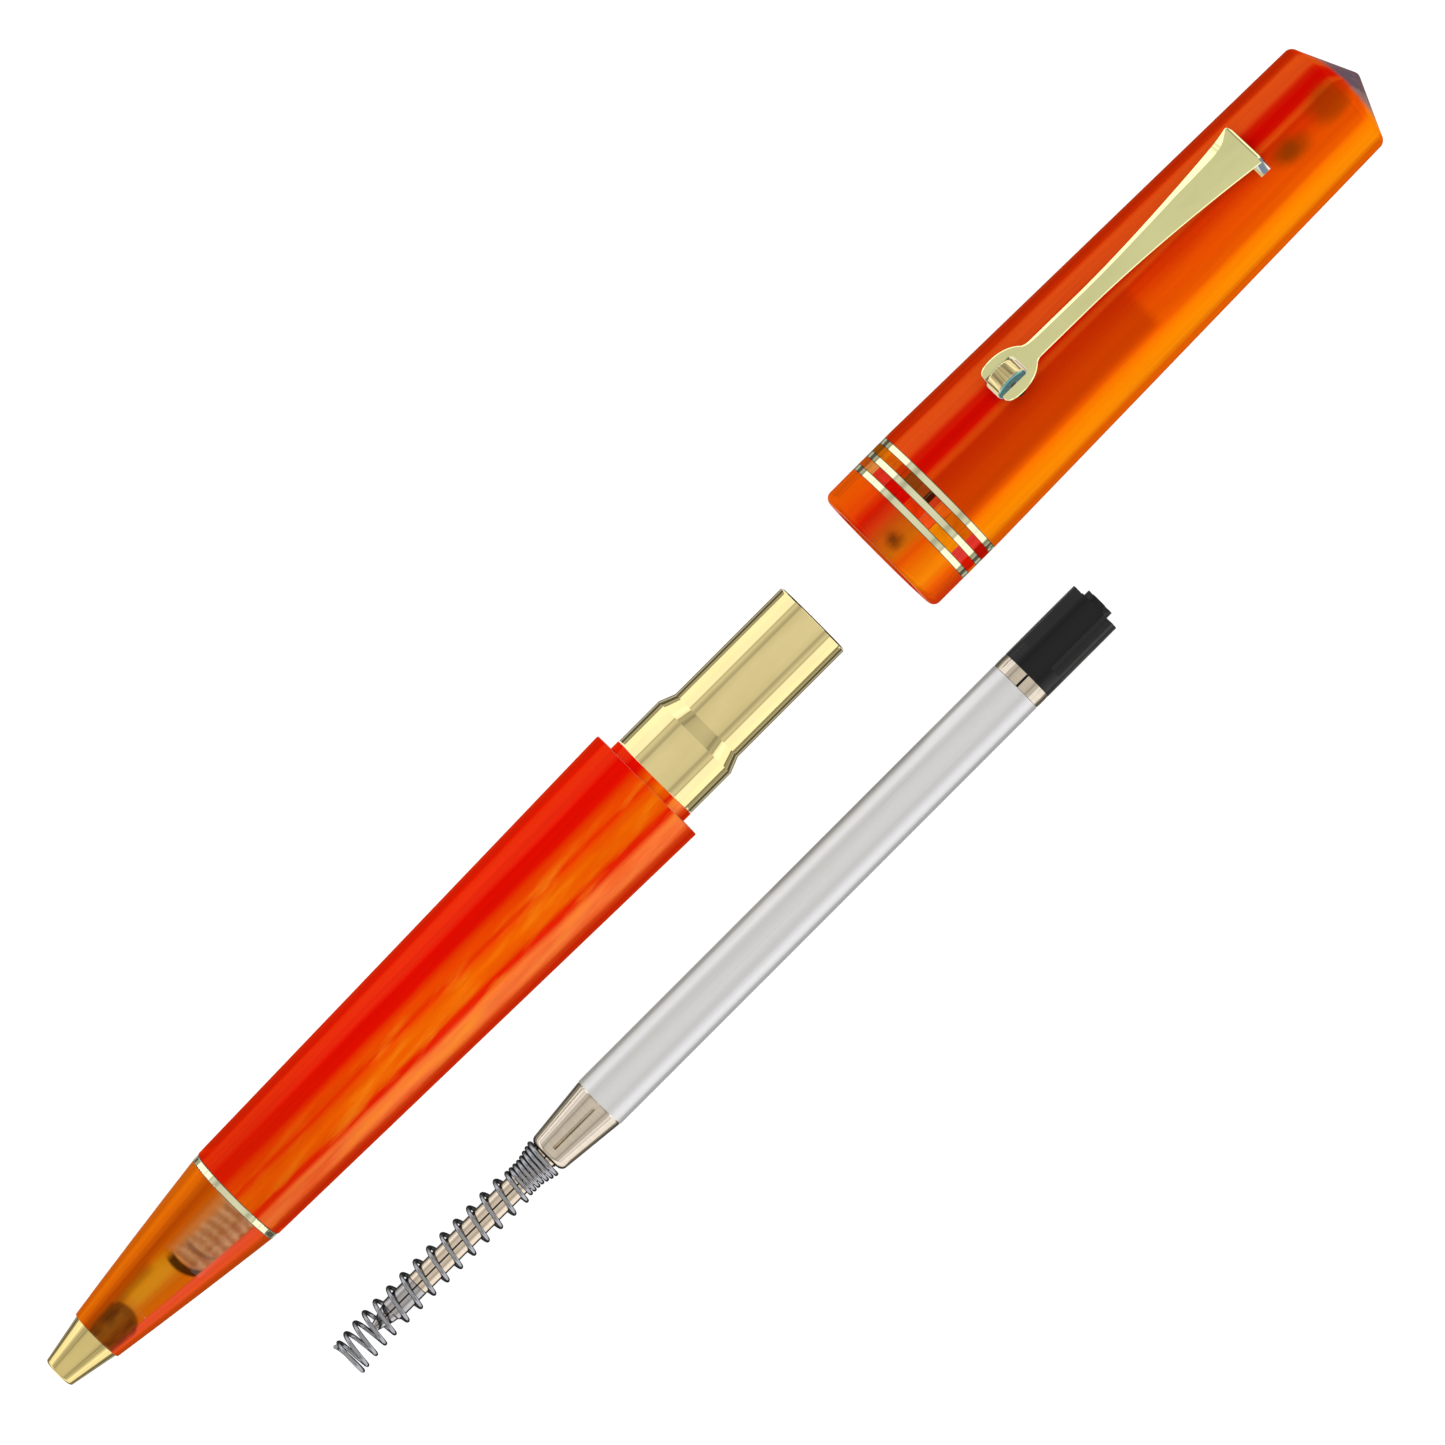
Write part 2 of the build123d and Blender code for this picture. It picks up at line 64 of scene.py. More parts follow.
PEN_Y, PEN_Z = centre("cap_liner").yz
REFILL_Y, REFILL_Z = centre("refill_tube").yz
NOSE_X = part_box("nose_tip")[0].x
CAP_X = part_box("cap_lip")[0].x
POINT_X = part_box("point_ball")[0].x
CAP_R = (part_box("cap_lip")[1].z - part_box("cap_lip")[0].z) / 2
CLIP_TURN = radians(20)  # from the top of the cap towards +Y
OUT = Vector((0, sin(CLIP_TURN), cos(CLIP_TURN)))
ACROSS = Vector((0, cos(CLIP_TURN), -sin(CLIP_TURN)))


# ---------------------------------------------------------------- shader tools


def rgb(red, green, blue):
    """A linear colour from display values of 0 to 255."""
    parts = [v / 255 for v in (red, green, blue)]
    return tuple(v / 12.92 if v <= 0.04045 else ((v + 0.055) / 1.055) ** 2.4 for v in parts) + (1,)


def grey(level):
    """A linear grey, which may be brighter than white where it multiplies another colour."""
    return (level, level, level, 1)


class Nodes:
    """A node tree under construction."""

    def __init__(self, tree):
        self.tree = tree

    def node(self, kind, **settings):
        made = self.tree.nodes.new("ShaderNode" + kind)
        for key, value in settings.items():
            setattr(made, key, value)
        return made

    def feed(self, socket, value):
        if isinstance(value, bpy.types.NodeSocket):
            self.tree.links.new(value, socket)
        else:
            socket.default_value = value

    def math(self, operation, a, b=0.0, c=0.0):
        made = self.node("Math", operation=operation)
        for socket, value in zip(made.inputs, (a, b, c)):
            self.feed(socket, value)
        return made.outputs[0]

    def join(self, x, y, z):
        made = self.node("CombineXYZ")
        for socket, value in zip(made.inputs, (x, y, z)):
            self.feed(socket, value)
        return made.outputs[0]

    def scaled(self, *parts):
        """A vector of three parts, each a number, a value or (value, factor)."""
        return self.join(*[self.math("MULTIPLY", *p) if isinstance(p, tuple) else p for p in parts])

    def noise(self, vector, detail=3.0, roughness=0.55):
        made = self.node("TexNoise")
        self.feed(made.inputs["Vector"], vector)
        made.inputs["Scale"].default_value = 1.0
        made.inputs["Detail"].default_value = detail
        made.inputs["Roughness"].default_value = roughness
        return made.outputs["Fac"]

    def swing(self, noise, width):
        """A noise of 0 to 1 as a swing about 0, this wide in all."""
        return self.math("MULTIPLY", self.math("SUBTRACT", noise, 0.5), width)

    def ramp(self, value, stops, interpolation="LINEAR"):
        made = self.node("ValToRGB")
        made.color_ramp.interpolation = interpolation
        elements = made.color_ramp.elements
        while len(elements) > 1:
            elements.remove(elements[-1])
        elements[0].position, elements[0].color = stops[0]
        for place, colour in stops[1:]:
            elements.new(place).color = colour
        self.feed(made.inputs[0], value)
        return made.outputs[0]

    def step(self, value, low, high):
        """0 below low and 1 above high, smooth between."""
        made = self.node("MapRange", interpolation_type="SMOOTHSTEP")
        self.feed(made.inputs["Value"], value)
        made.inputs["From Min"].default_value = low
        made.inputs["From Max"].default_value = high
        return made.outputs["Result"]

    def fall(self, value, low, high):
        """1 below low and 0 above high, smooth between."""
        return self.math("SUBTRACT", 1.0, self.step(value, low, high))

    def mix(self, share, a, b, blend="MIX"):
        made = self.node("Mix", data_type="RGBA", blend_type=blend)
        self.feed(made.inputs["Factor"], share)
        self.feed(made.inputs["A"], a)
        self.feed(made.inputs["B"], b)
        return made.outputs["Result"]

    def product(self, first, *others):
        for other in others:
            first = self.math("MULTIPLY", first, other)
        return first

    def hypot(self, a, b):
        squares = self.math("MULTIPLY", a, a), self.math("MULTIPLY", b, b)
        return self.math("SQRT", self.math("ADD", *squares))

    def blot(self, across, along, ragged):
        """1 in the middle of a soft patch and 0 outside it, by two distances over its half sizes."""
        return self.fall(self.math("ADD", self.hypot(across, along), ragged), 0.25, 1.15)

    def window(self, value, low, high, soft):
        """1 between low and high, falling to 0 within soft outside them."""
        return self.math("MULTIPLY", self.step(value, low - soft, low), self.fall(value, high, high + soft))


class Shader(Nodes):
    """A material under construction, with one Principled shader."""

    def __init__(self, name, **settings):
        self.material = bpy.data.materials.new(name)
        self.material.use_nodes = True
        super().__init__(self.material.node_tree)
        self.skin = self.tree.nodes["Principled BSDF"]
        for key, value in settings.items():
            self.skin.inputs[key.replace("_", " ")].default_value = value

    def spot(self):
        """Where the surface point is, as three outputs in metres."""
        split = self.node("SeparateXYZ")
        self.feed(split.inputs[0], self.node("TexCoord").outputs["Object"])
        return split.outputs

    def angle(self, y, z):
        """Degrees round a lengthwise axis from the top, positive towards +Y."""
        _, along_y, along_z = self.spot()
        offsets = self.math("SUBTRACT", along_y, y), self.math("SUBTRACT", along_z, z)
        return self.math("MULTIPLY", self.math("ARCTAN2", *offsets), 180 / pi)

    def around(self, turn, bands, interpolation="LINEAR"):
        """Colour by (degrees, colour) bands that go round from -180 to 180."""
        place = self.math("DIVIDE", self.math("ADD", turn, 180), 360)
        stops = [((degrees + 180) / 360, rgb(*colour)) for degrees, colour in bands]
        return self.ramp(place, stops, interpolation)

    def reach(self):
        """How far the surface point is from the pen's axis."""
        _, y, z = self.spot()
        return self.hypot(self.math("SUBTRACT", y, PEN_Y), self.math("SUBTRACT", z, PEN_Z))

    def off_axis(self, direction):
        """How far the surface point is from the pen's axis along a direction."""
        _, y, z = self.spot()
        part_y = self.math("MULTIPLY", self.math("SUBTRACT", y, PEN_Y), direction.y)
        part_z = self.math("MULTIPLY", self.math("SUBTRACT", z, PEN_Z), direction.z)
        return self.math("ADD", part_y, part_z)

    def colour(self, value):
        self.feed(self.skin.inputs["Base Color"], value)

    def rough(self, value):
        self.feed(self.skin.inputs["Roughness"], value)

    def bump(self, height, distance, strength):
        made = self.node("Bump")
        made.inputs["Strength"].default_value = strength
        made.inputs["Distance"].default_value = distance
        self.feed(made.inputs["Height"], height)
        self.feed(self.skin.inputs["Normal"], made.outputs[0])


GLINT = (1.0, 0.45, 0.08, 1.0)  # the warm cast of the acrylic's reflections
POLISH = {"Roughness": 0.05, "Metallic": 0.18, "Specular_IOR_Level": 0.0, "Specular_Tint": GLINT}


def turned_acrylic(name, bands, waver):
    """Polished acrylic whose colours run lengthwise, in bands that waver by that many degrees."""
    s = Shader(name, **POLISH)
    x = s.spot()[0]
    turn = s.angle(PEN_Y, PEN_Z)
    slow = s.noise(s.scaled((x, 45), (turn, 0.02), 0.0), detail=4)
    base = s.around(s.math("ADD", turn, s.swing(slow, waver * 2)), bands)
    streak = s.noise(s.scaled((x, 50), (turn, 0.16), 3.0), detail=5, roughness=0.65)
    shade = s.ramp(streak, [(0.3, grey(0.9)), (0.7, grey(1.05))])
    return s, x, turn, s.mix(1.0, base, shade, "MULTIPLY")


# ---------------------------------------------------------------- materials
#
# Bands of colour are (degrees from the top, display colour), and +Y is the positive side. The acrylic's
# bands also carry painted highlights where the side lights reflect, at about 35 to 55 degrees either side
# of the top.

BARREL_BANDS = [
    (-180, (228, 80, 2)),
    (-150, (230, 40, 2)),
    (-120, (240, 120, 10)),
    (-90, (222, 50, 10)),
    (-70, (214, 40, 8)),
    (-61, (222, 62, 16)),
    # painted highlight where the -Y side light reflects, from -50 to -37 degrees
    (-50, (242, 118, 58)),
    (-37, (244, 118, 52)),
    (-31, (230, 32, 6)),
    (-27, (230, 26, 2)),
    (-23, (238, 92, 2)),
    (-12, (240, 104, 2)),
    (-5, (236, 84, 2)),
    (0, (230, 44, 1)),
    (4, (234, 74, 1)),
    (13, (230, 60, 1)),
    (19, (226, 16, 1)),
    (32, (224, 12, 1)),
    # painted highlight where the +Y side light reflects, from 38 to 54 degrees
    (38, (226, 38, 14)),
    (54, (230, 48, 16)),
    (60, (228, 26, 2)),
    (90, (220, 44, 12)),
    (125, (240, 104, 4)),
    (155, (232, 36, 2)),
    (180, (228, 80, 2)),
]
BARREL_BELT = (-62, -50, -2, 14)  # degrees between which the mottled belt rises, then falls
BARREL_DUSK = (26, 44)  # distances from the nose's front between which the darker front ends


def barrel_acrylic():
    """Streaks with a mottled belt on the -Y side, and darker towards the nose."""
    s, x, turn, base = turned_acrylic("barrel_acrylic", BARREL_BANDS, waver=3.5)
    skew = s.math("ADD", s.math("MULTIPLY", x, 110), s.math("MULTIPLY", turn, -0.03))
    blob = s.noise(s.scaled(skew, (turn, 0.055), 0.0), detail=4)
    rise_start, rise_end, fall_start, fall_end = BARREL_BELT
    belt = s.math("MULTIPLY", s.step(turn, rise_start, rise_end), s.fall(turn, fall_start, fall_end))
    light = s.mix(s.product(s.step(blob, 0.46, 0.74), belt, 0.6), base, rgb(246, 150, 30))
    mottled = s.mix(s.product(s.fall(blob, 0.3, 0.52), belt, 0.4), light, rgb(226, 60, 2))
    front = s.fall(s.math("SUBTRACT", x, NOSE_X), BARREL_DUSK[0] * MM, BARREL_DUSK[1] * MM)
    s.colour(s.mix(s.math("MULTIPLY", front, 0.3), mottled, rgb(176, 42, 2)))
    return s.material


CAP_BANDS = [
    (-180, (232, 92, 2)),
    (-140, (248, 134, 4)),
    (-100, (232, 104, 8)),
    (-78, (232, 96, 3)),
    (-66, (238, 104, 3)),
    # painted highlight where the -Y side light reflects, from -59 to -38 degrees
    (-59, (246, 136, 8)),
    (-48, (248, 136, 2)),
    (-38, (246, 124, 1)),
    (-31, (240, 94, 1)),
    (-20, (230, 82, 1)),
    (-10, (228, 78, 1)),
    (0, (216, 56, 1)),
    (9, (206, 44, 1)),
    (11.5, (222, 74, 14)),
    (14, (216, 66, 10)),
    (18, (208, 14, 1)),
    (26, (206, 8, 1)),
    (33, (206, 32, 6)),
    # painted highlight where the +Y side light reflects, from 38 to 54 degrees
    (38, (214, 72, 20)),
    (54, (216, 76, 22)),
    (60, (204, 46, 2)),
    (72, (194, 40, 2)),
    (90, (186, 60, 22)),
    (130, (226, 70, 2)),
    (180, (232, 92, 2)),
]
CAP_BLOTS = [  # painted shade over the clip's anchor and the finial's screw inside: distance from the cap's mouth and degrees from the top, then the half sizes
    (53.9, -5, 2.6, 17),
    (59.6, 3, 2.8, 20),
]
CAP_INSIDE_END = (33.0, 34.4)  # where the shadow of the brass tube inside ends
CAP_RIM = (61.8, 63.6)  # where the cap's lighter end comes in


def cap_streaks(name):
    """The cap's streaks with the painted shadow of its brass tube inside and painted shade over the
    hardware inside, for the tube and the finial alike.
    """
    s, x, turn, base = turned_acrylic(name, CAP_BANDS, waver=2.5)
    along = s.math("SUBTRACT", x, CAP_X)
    inside = s.fall(along, CAP_INSIDE_END[0] * MM, CAP_INSIDE_END[1] * MM)
    shadow = s.product(inside, s.window(turn, -24, 6, 10), 0.55)
    tinted = s.mix(shadow, base, rgb(176, 40, 1))
    ragged = s.swing(s.noise(s.scaled((x, 150), (turn, 0.035), 7.0), detail=3), 1.1)
    # painted shade in soft blots where the clip's anchor and the finial's screw sit inside
    shades = []
    for place, at, length, width in CAP_BLOTS:
        far = s.math("DIVIDE", s.math("SUBTRACT", along, place * MM), length * MM)
        aside = s.math("DIVIDE", s.math("SUBTRACT", turn, at), width)
        shades.append(s.blot(far, aside, ragged))
    blots = s.math("MAXIMUM", shades[0], s.math("MULTIPLY", shades[1], 0.7))
    blot_shaded = s.mix(s.math("MULTIPLY", blots, 0.8), tinted, rgb(118, 52, 1))
    rim = s.math("MULTIPLY", s.step(along, CAP_RIM[0] * MM, CAP_RIM[1] * MM), 0.4)
    return s, x, s.mix(rim, blot_shaded, rgb(226, 92, 4))


def cap_acrylic():
    s, _, tone = cap_streaks("cap_acrylic")
    s.colour(tone)
    return s.material


SMOKE_ARC = 0.44  # how far up the cone the smoke starts in line with the top, as a share of its height


def finial_acrylic():
    """The cap's streaks up to an arc across the cone, then smoke-grey acrylic to the apex."""
    s, x, tone = cap_streaks("finial_acrylic")
    _, y, z = s.spot()
    low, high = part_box("finial")
    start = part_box("cap_tube")[1].x
    radius = (high.z - low.z) / 2
    rise = s.math("DIVIDE", s.math("SUBTRACT", x, start), high.x - start)
    aside = s.math("DIVIDE", s.math("SUBTRACT", y, PEN_Y), radius)
    dip = s.product(aside, aside, SMOKE_ARC)
    arc = s.math("SUBTRACT", SMOKE_ARC, dip)
    patch = s.noise(s.scaled((y, 420), (z, 420), (x, 300)), detail=4)
    above = s.math("ADD", s.math("SUBTRACT", rise, arc), s.swing(patch, 0.3))
    share = s.product(s.step(above, -0.1, 0.08), s.fall(s.reach(), 0.5 * radius, 0.86 * radius), 0.92)
    smoke = s.mix(s.step(patch, 0.44, 0.6), rgb(62, 84, 104), rgb(112, 114, 122))
    s.colour(s.mix(share, tone, smoke))
    return s.material


LIP_BANDS = [
    (-180, (232, 90, 4)),
    (-120, (226, 50, 10)),
    (-75, (222, 60, 16)),
    (-52, (234, 92, 8)),
    # painted highlight where the -Y side light reflects, from -40 to -28 degrees
    (-40, (242, 132, 10)),
    (-28, (240, 118, 4)),
    (-16, (232, 84, 4)),
    (-8, (204, 104, 10)),
    (6, (196, 84, 14)),
    (16, (206, 52, 14)),
    (26, (212, 26, 4)),
    # painted highlight where the +Y side light reflects, from 36 to 52 degrees
    (36, (222, 66, 6)),
    (52, (226, 84, 4)),
    (75, (226, 90, 8)),
    (110, (214, 40, 4)),
    (180, (232, 90, 4)),
]
LIP_KNOT = (1.7, -1.0)  # distance from the cap's mouth, and degrees from the top


def lip_acrylic():
    """The ring at the cap's mouth, with one dark knot."""
    s, x, turn, base = turned_acrylic("lip_acrylic", LIP_BANDS, waver=4)
    place, at = LIP_KNOT
    along = s.math("SUBTRACT", x, CAP_X + place * MM)
    aside = s.math("MULTIPLY", s.math("SUBTRACT", turn, at), CAP_R * pi / 180)
    ragged = s.noise(s.scaled((x, 900), (turn, 0.12), 1.0), detail=4)
    narrow = s.math("MULTIPLY", aside, 0.8**0.5)
    far = s.math("ADD", s.hypot(along, narrow), s.math("MULTIPLY", ragged, 1.2 * MM))
    knot = s.fall(far, 0.5 * MM, 1.9 * MM)
    s.colour(s.mix(s.math("MULTIPLY", knot, 0.9), base, rgb(96, 40, 8)))
    return s.material


NOSE_BANDS = [
    (-180, (206, 112, 10)),
    (-110, (204, 84, 14)),
    (-80, (190, 72, 16)),
    (-64, (206, 72, 10)),
    # painted reflection band of the -Y side light, from -56 to -41 degrees
    (-56, (222, 78, 34)),
    (-41, (224, 76, 44)),
    (-38.5, (212, 74, 30)),
    (-37, (208, 98, 8)),
    (-30, (208, 98, 4)),
    (-18, (204, 108, 16)),
    (-4, (202, 118, 28)),
    (8, (192, 102, 4)),
    (20, (192, 84, 2)),
    (29, (180, 70, 2)),
    (40, (204, 92, 6)),
    (52, (224, 108, 8)),
    (64, (216, 100, 5)),
    (90, (206, 110, 40)),
    (180, (206, 112, 10)),
]
NOSE_CLEAR = 0.07  # how clear the nose's window is
SEEN_SHANK = 9.1  # what shows through the nose, in millimetres from its front
SEEN_SHANK_RIM = (8.7, 9.3)
SEEN_GLOW = (11, 14.5)
SEEN_STREAK = (9, 13)
SEEN_GAP = (15.4, 15.9)
SEEN_COUPLER = (16.5, 23.3)
SEEN_SHOULDER = (17.7, 17.9)
THREAD_PITCH = 1.05
BELT_EDGE = (-38.5, -37)  # degrees from the top where the clear window's lower edge lies
NOSE_BORE_START = 5.15  # the bore's cone, whose wall is left clear
NOSE_BORE_R = 2.63
NOSE_BORE_SLOPE = 0.1344


def bow_of(s, turn):
    """How much later a ring inside the nose is seen, away from the middle of the window."""
    aside = s.math("DIVIDE", s.math("ADD", turn, 8.0), 34.0)
    return s.math("MULTIPLY", s.math("POWER", aside, 2.0), 0.9 * MM)


def stretch(s, value, ends, soft):
    """1 between two distances in millimetres."""
    return s.window(value, ends[0] * MM, ends[1] * MM, soft * MM)


def add_shank(s, x, turn, along, place, base):
    """The tip's dark shank behind the front of the nose, and the glow and streak behind it."""
    bowed = s.math("ADD", place, bow_of(s, turn))
    body = s.fall(bowed, SEEN_SHANK * MM, (SEEN_SHANK + 0.6) * MM)
    shank = s.product(body, s.window(turn, -40, 14, 16))
    rim = stretch(s, s.math("ADD", along, bow_of(s, turn)), SEEN_SHANK_RIM, 0.5)
    edge = s.product(rim, s.window(turn, -34, 10, 12), 0.7)
    cloud = s.noise(s.scaled((x, 380), (turn, 0.045), 5.0), detail=2)
    depth = s.math("ADD", 0.62, s.math("MULTIPLY", s.step(cloud, 0.3, 0.7), 0.24))
    dark = s.math("MAXIMUM", s.math("MULTIPLY", shank, depth), edge)
    glow = s.product(stretch(s, place, SEEN_GLOW, 2), s.window(turn, -6, 8, 14), 0.5)
    lit = s.mix(glow, base, rgb(214, 150, 24))
    streak = s.product(stretch(s, place, SEEN_STREAK, 1.5), s.window(turn, 12, 20, 8), 0.35)
    return s.mix(streak, s.mix(dark, lit, rgb(56, 26, 10)), rgb(110, 50, 8))


def coupler_metal(s, x, turn, along):
    """The coupler's threads, blurred by the acrylic."""
    lean = s.math("ADD", s.math("MULTIPLY", bow_of(s, turn), 0.5), s.math("MULTIPLY", turn, 0.012 * MM))
    ribs = s.math("SINE", s.math("MULTIPLY", s.math("ADD", along, lean), 2 * pi / (THREAD_PITCH * MM)))
    smear = s.noise(s.scaled((x, 900), (turn, 0.08), 9.0), detail=2)
    glint = s.math("ADD", s.math("MULTIPLY", ribs, 0.3), s.math("MULTIPLY", smear, 2.2))
    return s.mix(s.step(glint, 0.5, 2.1), rgb(140, 80, 40), rgb(190, 142, 98))


def add_coupler(s, x, turn, along, wisp, base):
    """The coupler behind the rear of the nose, its shoulder line, and the painted shade of the gap in front
    of it.
    """
    window_edge = s.step(turn, *BELT_EDGE)
    wavy = s.math("ADD", turn, s.swing(wisp, 16))
    belt = s.product(window_edge, s.fall(wavy, -2, 10))
    thread = s.product(stretch(s, along, SEEN_COUPLER, 0.3), belt, 0.8)
    tone = s.mix(thread, base, coupler_metal(s, x, turn, along))
    bowed = s.math("SUBTRACT", along, bow_of(s, turn))
    line = s.product(stretch(s, bowed, SEEN_SHOULDER, 0.25), belt, 0.5)
    lined = s.mix(line, tone, rgb(96, 50, 24))
    # painted shade in the gap in front of the coupler
    gap = s.product(stretch(s, bowed, SEEN_GAP, 0.4), window_edge, s.fall(turn, 0, 12), 0.93)
    return s.mix(gap, lined, rgb(30, 10, 4))


def nose_acrylic():
    """Amber acrylic that is slightly clear, with what shows through it drawn in its colour."""
    s, x, turn, base = turned_acrylic("nose_acrylic", NOSE_BANDS, waver=2)
    along = s.math("SUBTRACT", x, NOSE_X)
    wisp = s.noise(s.scaled((x, 420), (turn, 0.05), 4.0), detail=4)
    place = s.math("ADD", along, s.swing(wisp, 1.6 * MM))
    tone = add_shank(s, x, turn, along, place, base)
    s.colour(add_coupler(s, x, turn, along, wisp, tone))

    clear = s.math("MULTIPLY", s.window(turn, -38, 8, 14), NOSE_CLEAR)
    behind = s.math("SUBTRACT", along, NOSE_BORE_START * MM)
    bore_r = s.math("ADD", s.math("MULTIPLY", behind, NOSE_BORE_SLOPE), NOSE_BORE_R * MM)
    bore = s.math("LESS_THAN", s.reach(), bore_r)
    s.feed(s.skin.inputs["Alpha"], s.math("SUBTRACT", 1.0, s.math("MAXIMUM", clear, bore)))
    return s.material


def mosaic_acrylic(name, blocks):
    """Blocks of differently coloured acrylic round a ring: (degrees, colour) from each block's low edge."""
    s = Shader(name, **POLISH)
    x = s.spot()[0]
    turn = s.angle(PEN_Y, PEN_Z)
    marble = s.noise(s.scaled((x, 900), (turn, 0.14), 2.0), detail=5)
    shade = s.ramp(marble, [(0.32, grey(0.84)), (0.68, grey(1.12))])
    s.colour(s.mix(1.0, s.around(turn, blocks, "CONSTANT"), shade, "MULTIPLY"))
    return s.material


def gilt(name, tint, roughness):
    """Gold plating with faint polishing lines round the part."""
    s = Shader(name, Metallic=1.0)
    x, y, z = s.spot()
    haze = s.noise(s.scaled((x, 4000), (y, 300), (z, 300)), detail=3)
    cloud = s.noise(s.scaled((x, 160), (y, 420), (z, 420)), detail=4)
    shade = s.ramp(cloud, [(0.32, (0.95, 0.94, 0.91, 1)), (0.66, (1.02, 1.02, 1.01, 1))])
    tone = s.mix(1.0, rgb(*tint), shade, "MULTIPLY")
    s.colour(tone)
    s.rough(s.math("ADD", roughness, s.math("MULTIPLY", haze, 0.04)))
    return s, x, tone


GILT_TINT = (249, 249, 183)
RING_TINT = (248, 248, 206)
BRASS_TINT = (250, 233, 168)
TIP_TINT = (240, 219, 146)
RING_LINE = 0.1  # the dark joint at each side of a ring, in millimetres
RIM_LINE = 0.14  # the dark line at the shell's rim
LINER_GLUED = 5.2  # distance from the axis where the cap tube's glued outside, painted in shade, begins
TIP_SHANK = 5.2  # distance from the nose's front where the tip's hidden shank begins
TAB_START = 49.9  # where the clip's tab starts, in millimetres from the cap's mouth
TAB_TOP = 8.0  # from the pen's axis


def clip_gilt():
    """The clip's gilding, with painted shade on the tab where it goes down into its slot."""
    s, x, tone = gilt("clip_gilt", GILT_TINT, 0.03)
    # painted shade: the tab below the blade's underside, behind its start, is dark blue-grey
    below = s.fall(s.off_axis(OUT), (TAB_TOP - 0.1) * MM, (TAB_TOP + 0.1) * MM)
    behind = s.step(x, CAP_X + TAB_START * MM, CAP_X + (TAB_START + 0.1) * MM)
    s.colour(s.mix(s.product(below, behind), tone, rgb(48, 84, 104)))
    return s.material


def ring_gilt(name, node):
    """Gilt ring with a dark joint line at each side."""
    s, x, tone = gilt(name, RING_TINT, 0.03)
    low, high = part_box(node)
    inside = s.window(x, low.x + RING_LINE * MM, high.x - RING_LINE * MM, 0.07 * MM)
    s.colour(s.mix(inside, rgb(84, 62, 24), tone))
    return s.material


def shell_brass():
    """The mechanism's polished brass shell, with a dark line at its open rim."""
    s, x, tone = gilt("shell_brass", BRASS_TINT, 0.005)
    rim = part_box("mechanism_shell")[1].x
    s.colour(s.mix(s.step(x, rim - RIM_LINE * MM, rim - 0.08 * MM), tone, rgb(44, 32, 14)))
    return s.material


def liner_brass():
    """The cap's brass tube, with painted shade on its outside where the acrylic is glued on."""
    s, _, tone = gilt("liner_brass", BRASS_TINT, 0.03)
    outside = s.step(s.reach(), LINER_GLUED * MM, (LINER_GLUED + 0.1) * MM)
    s.colour(s.mix(outside, tone, rgb(74, 26, 6)))
    return s.material


def tip_gilt():
    """Gilt nose tip whose hidden shank is dark."""
    s, x, tone = gilt("tip_gilt", TIP_TINT, 0.02)
    shank = s.step(x, NOSE_X + TIP_SHANK * MM, NOSE_X + (TIP_SHANK + 0.1) * MM)
    s.colour(s.mix(shank, tone, rgb(58, 34, 18)))
    return s.material


def steel(name, tint, roughness, lines=3000, seam=False):
    """Drawn or turned steel with fine lines, and the refill tip's dark seam where it has one."""
    s = Shader(name, Metallic=1.0, Specular_Tint=(0.35, 0.35, 0.36, 1))
    x, y, z = s.spot()
    haze = s.noise(s.scaled((x, lines), (y, 400), (z, 400)), detail=3)
    shade = s.ramp(haze, [(0.3, grey(0.93)), (0.7, grey(1.03))])
    tone = s.mix(1.0, rgb(*tint), shade, "MULTIPLY")
    if seam:
        tone = s.mix(s.window(s.angle(REFILL_Y, REFILL_Z), -3, 3, 1.5), tone, rgb(26, 22, 20))
    s.colour(tone)
    s.rough(s.math("ADD", roughness, s.math("MULTIPLY", haze, 0.06)))
    return s.material


ROLLER_KNURLS = 26
ROLLER_FACE = (0.78, 0.9)  # distances from the roller's middle between which its tread ends


def roller_metal():
    """The clip's roller: gilt tread between cooler steel faces."""
    s = Shader("roller_metal", Metallic=1.0)
    x, y, z = s.spot()
    middle = centre("clip_roller")
    off_y = s.math("SUBTRACT", y, middle.y)
    off_z = s.math("SUBTRACT", z, middle.z)
    aside = s.math("ADD", s.math("MULTIPLY", off_y, ACROSS.y), s.math("MULTIPLY", off_z, ACROSS.z))
    face = s.step(s.math("ABSOLUTE", aside), ROLLER_FACE[0] * MM, ROLLER_FACE[1] * MM)
    spin = s.math("ARCTAN2", s.math("SUBTRACT", x, middle.x), off_z)
    knurl = s.step(s.math("SINE", s.math("MULTIPLY", spin, ROLLER_KNURLS)), 0.2, 0.95)
    tread = s.mix(s.math("MULTIPLY", knurl, 0.5), rgb(236, 218, 158), rgb(170, 150, 96))
    s.colour(s.mix(face, tread, rgb(110, 176, 180)))
    s.rough(s.math("ADD", 0.12, s.math("MULTIPLY", face, 0.12)))
    return s.material


def plastic(name, tint, roughness):
    """Moulded plastic with a fine grain."""
    s = Shader(name, IOR=1.36)
    x, y, z = s.spot()
    grain = s.noise(s.scaled((x, 2600), (y, 2600), (z, 2600)), detail=4)
    shade = s.ramp(grain, [(0.3, grey(0.85)), (0.7, grey(1.15))])
    s.colour(s.mix(1.0, rgb(*tint), shade, "MULTIPLY"))
    s.rough(s.math("ADD", roughness, s.math("MULTIPLY", grain, 0.1)))
    s.bump(grain, 0.004 * MM, strength=0.6)
    return s.material


TUBE_PAINTED_LIGHT = [  # degrees from the top, and how bright the tube is painted there, as painted highlights and shade round it
    (-180, 235),
    (-62, 226),
    (-45, 250),
    (-20, 238),
    (12, 236),
    (40, 255),
    (52, 255),
    (66, 226),
    (180, 235),
]


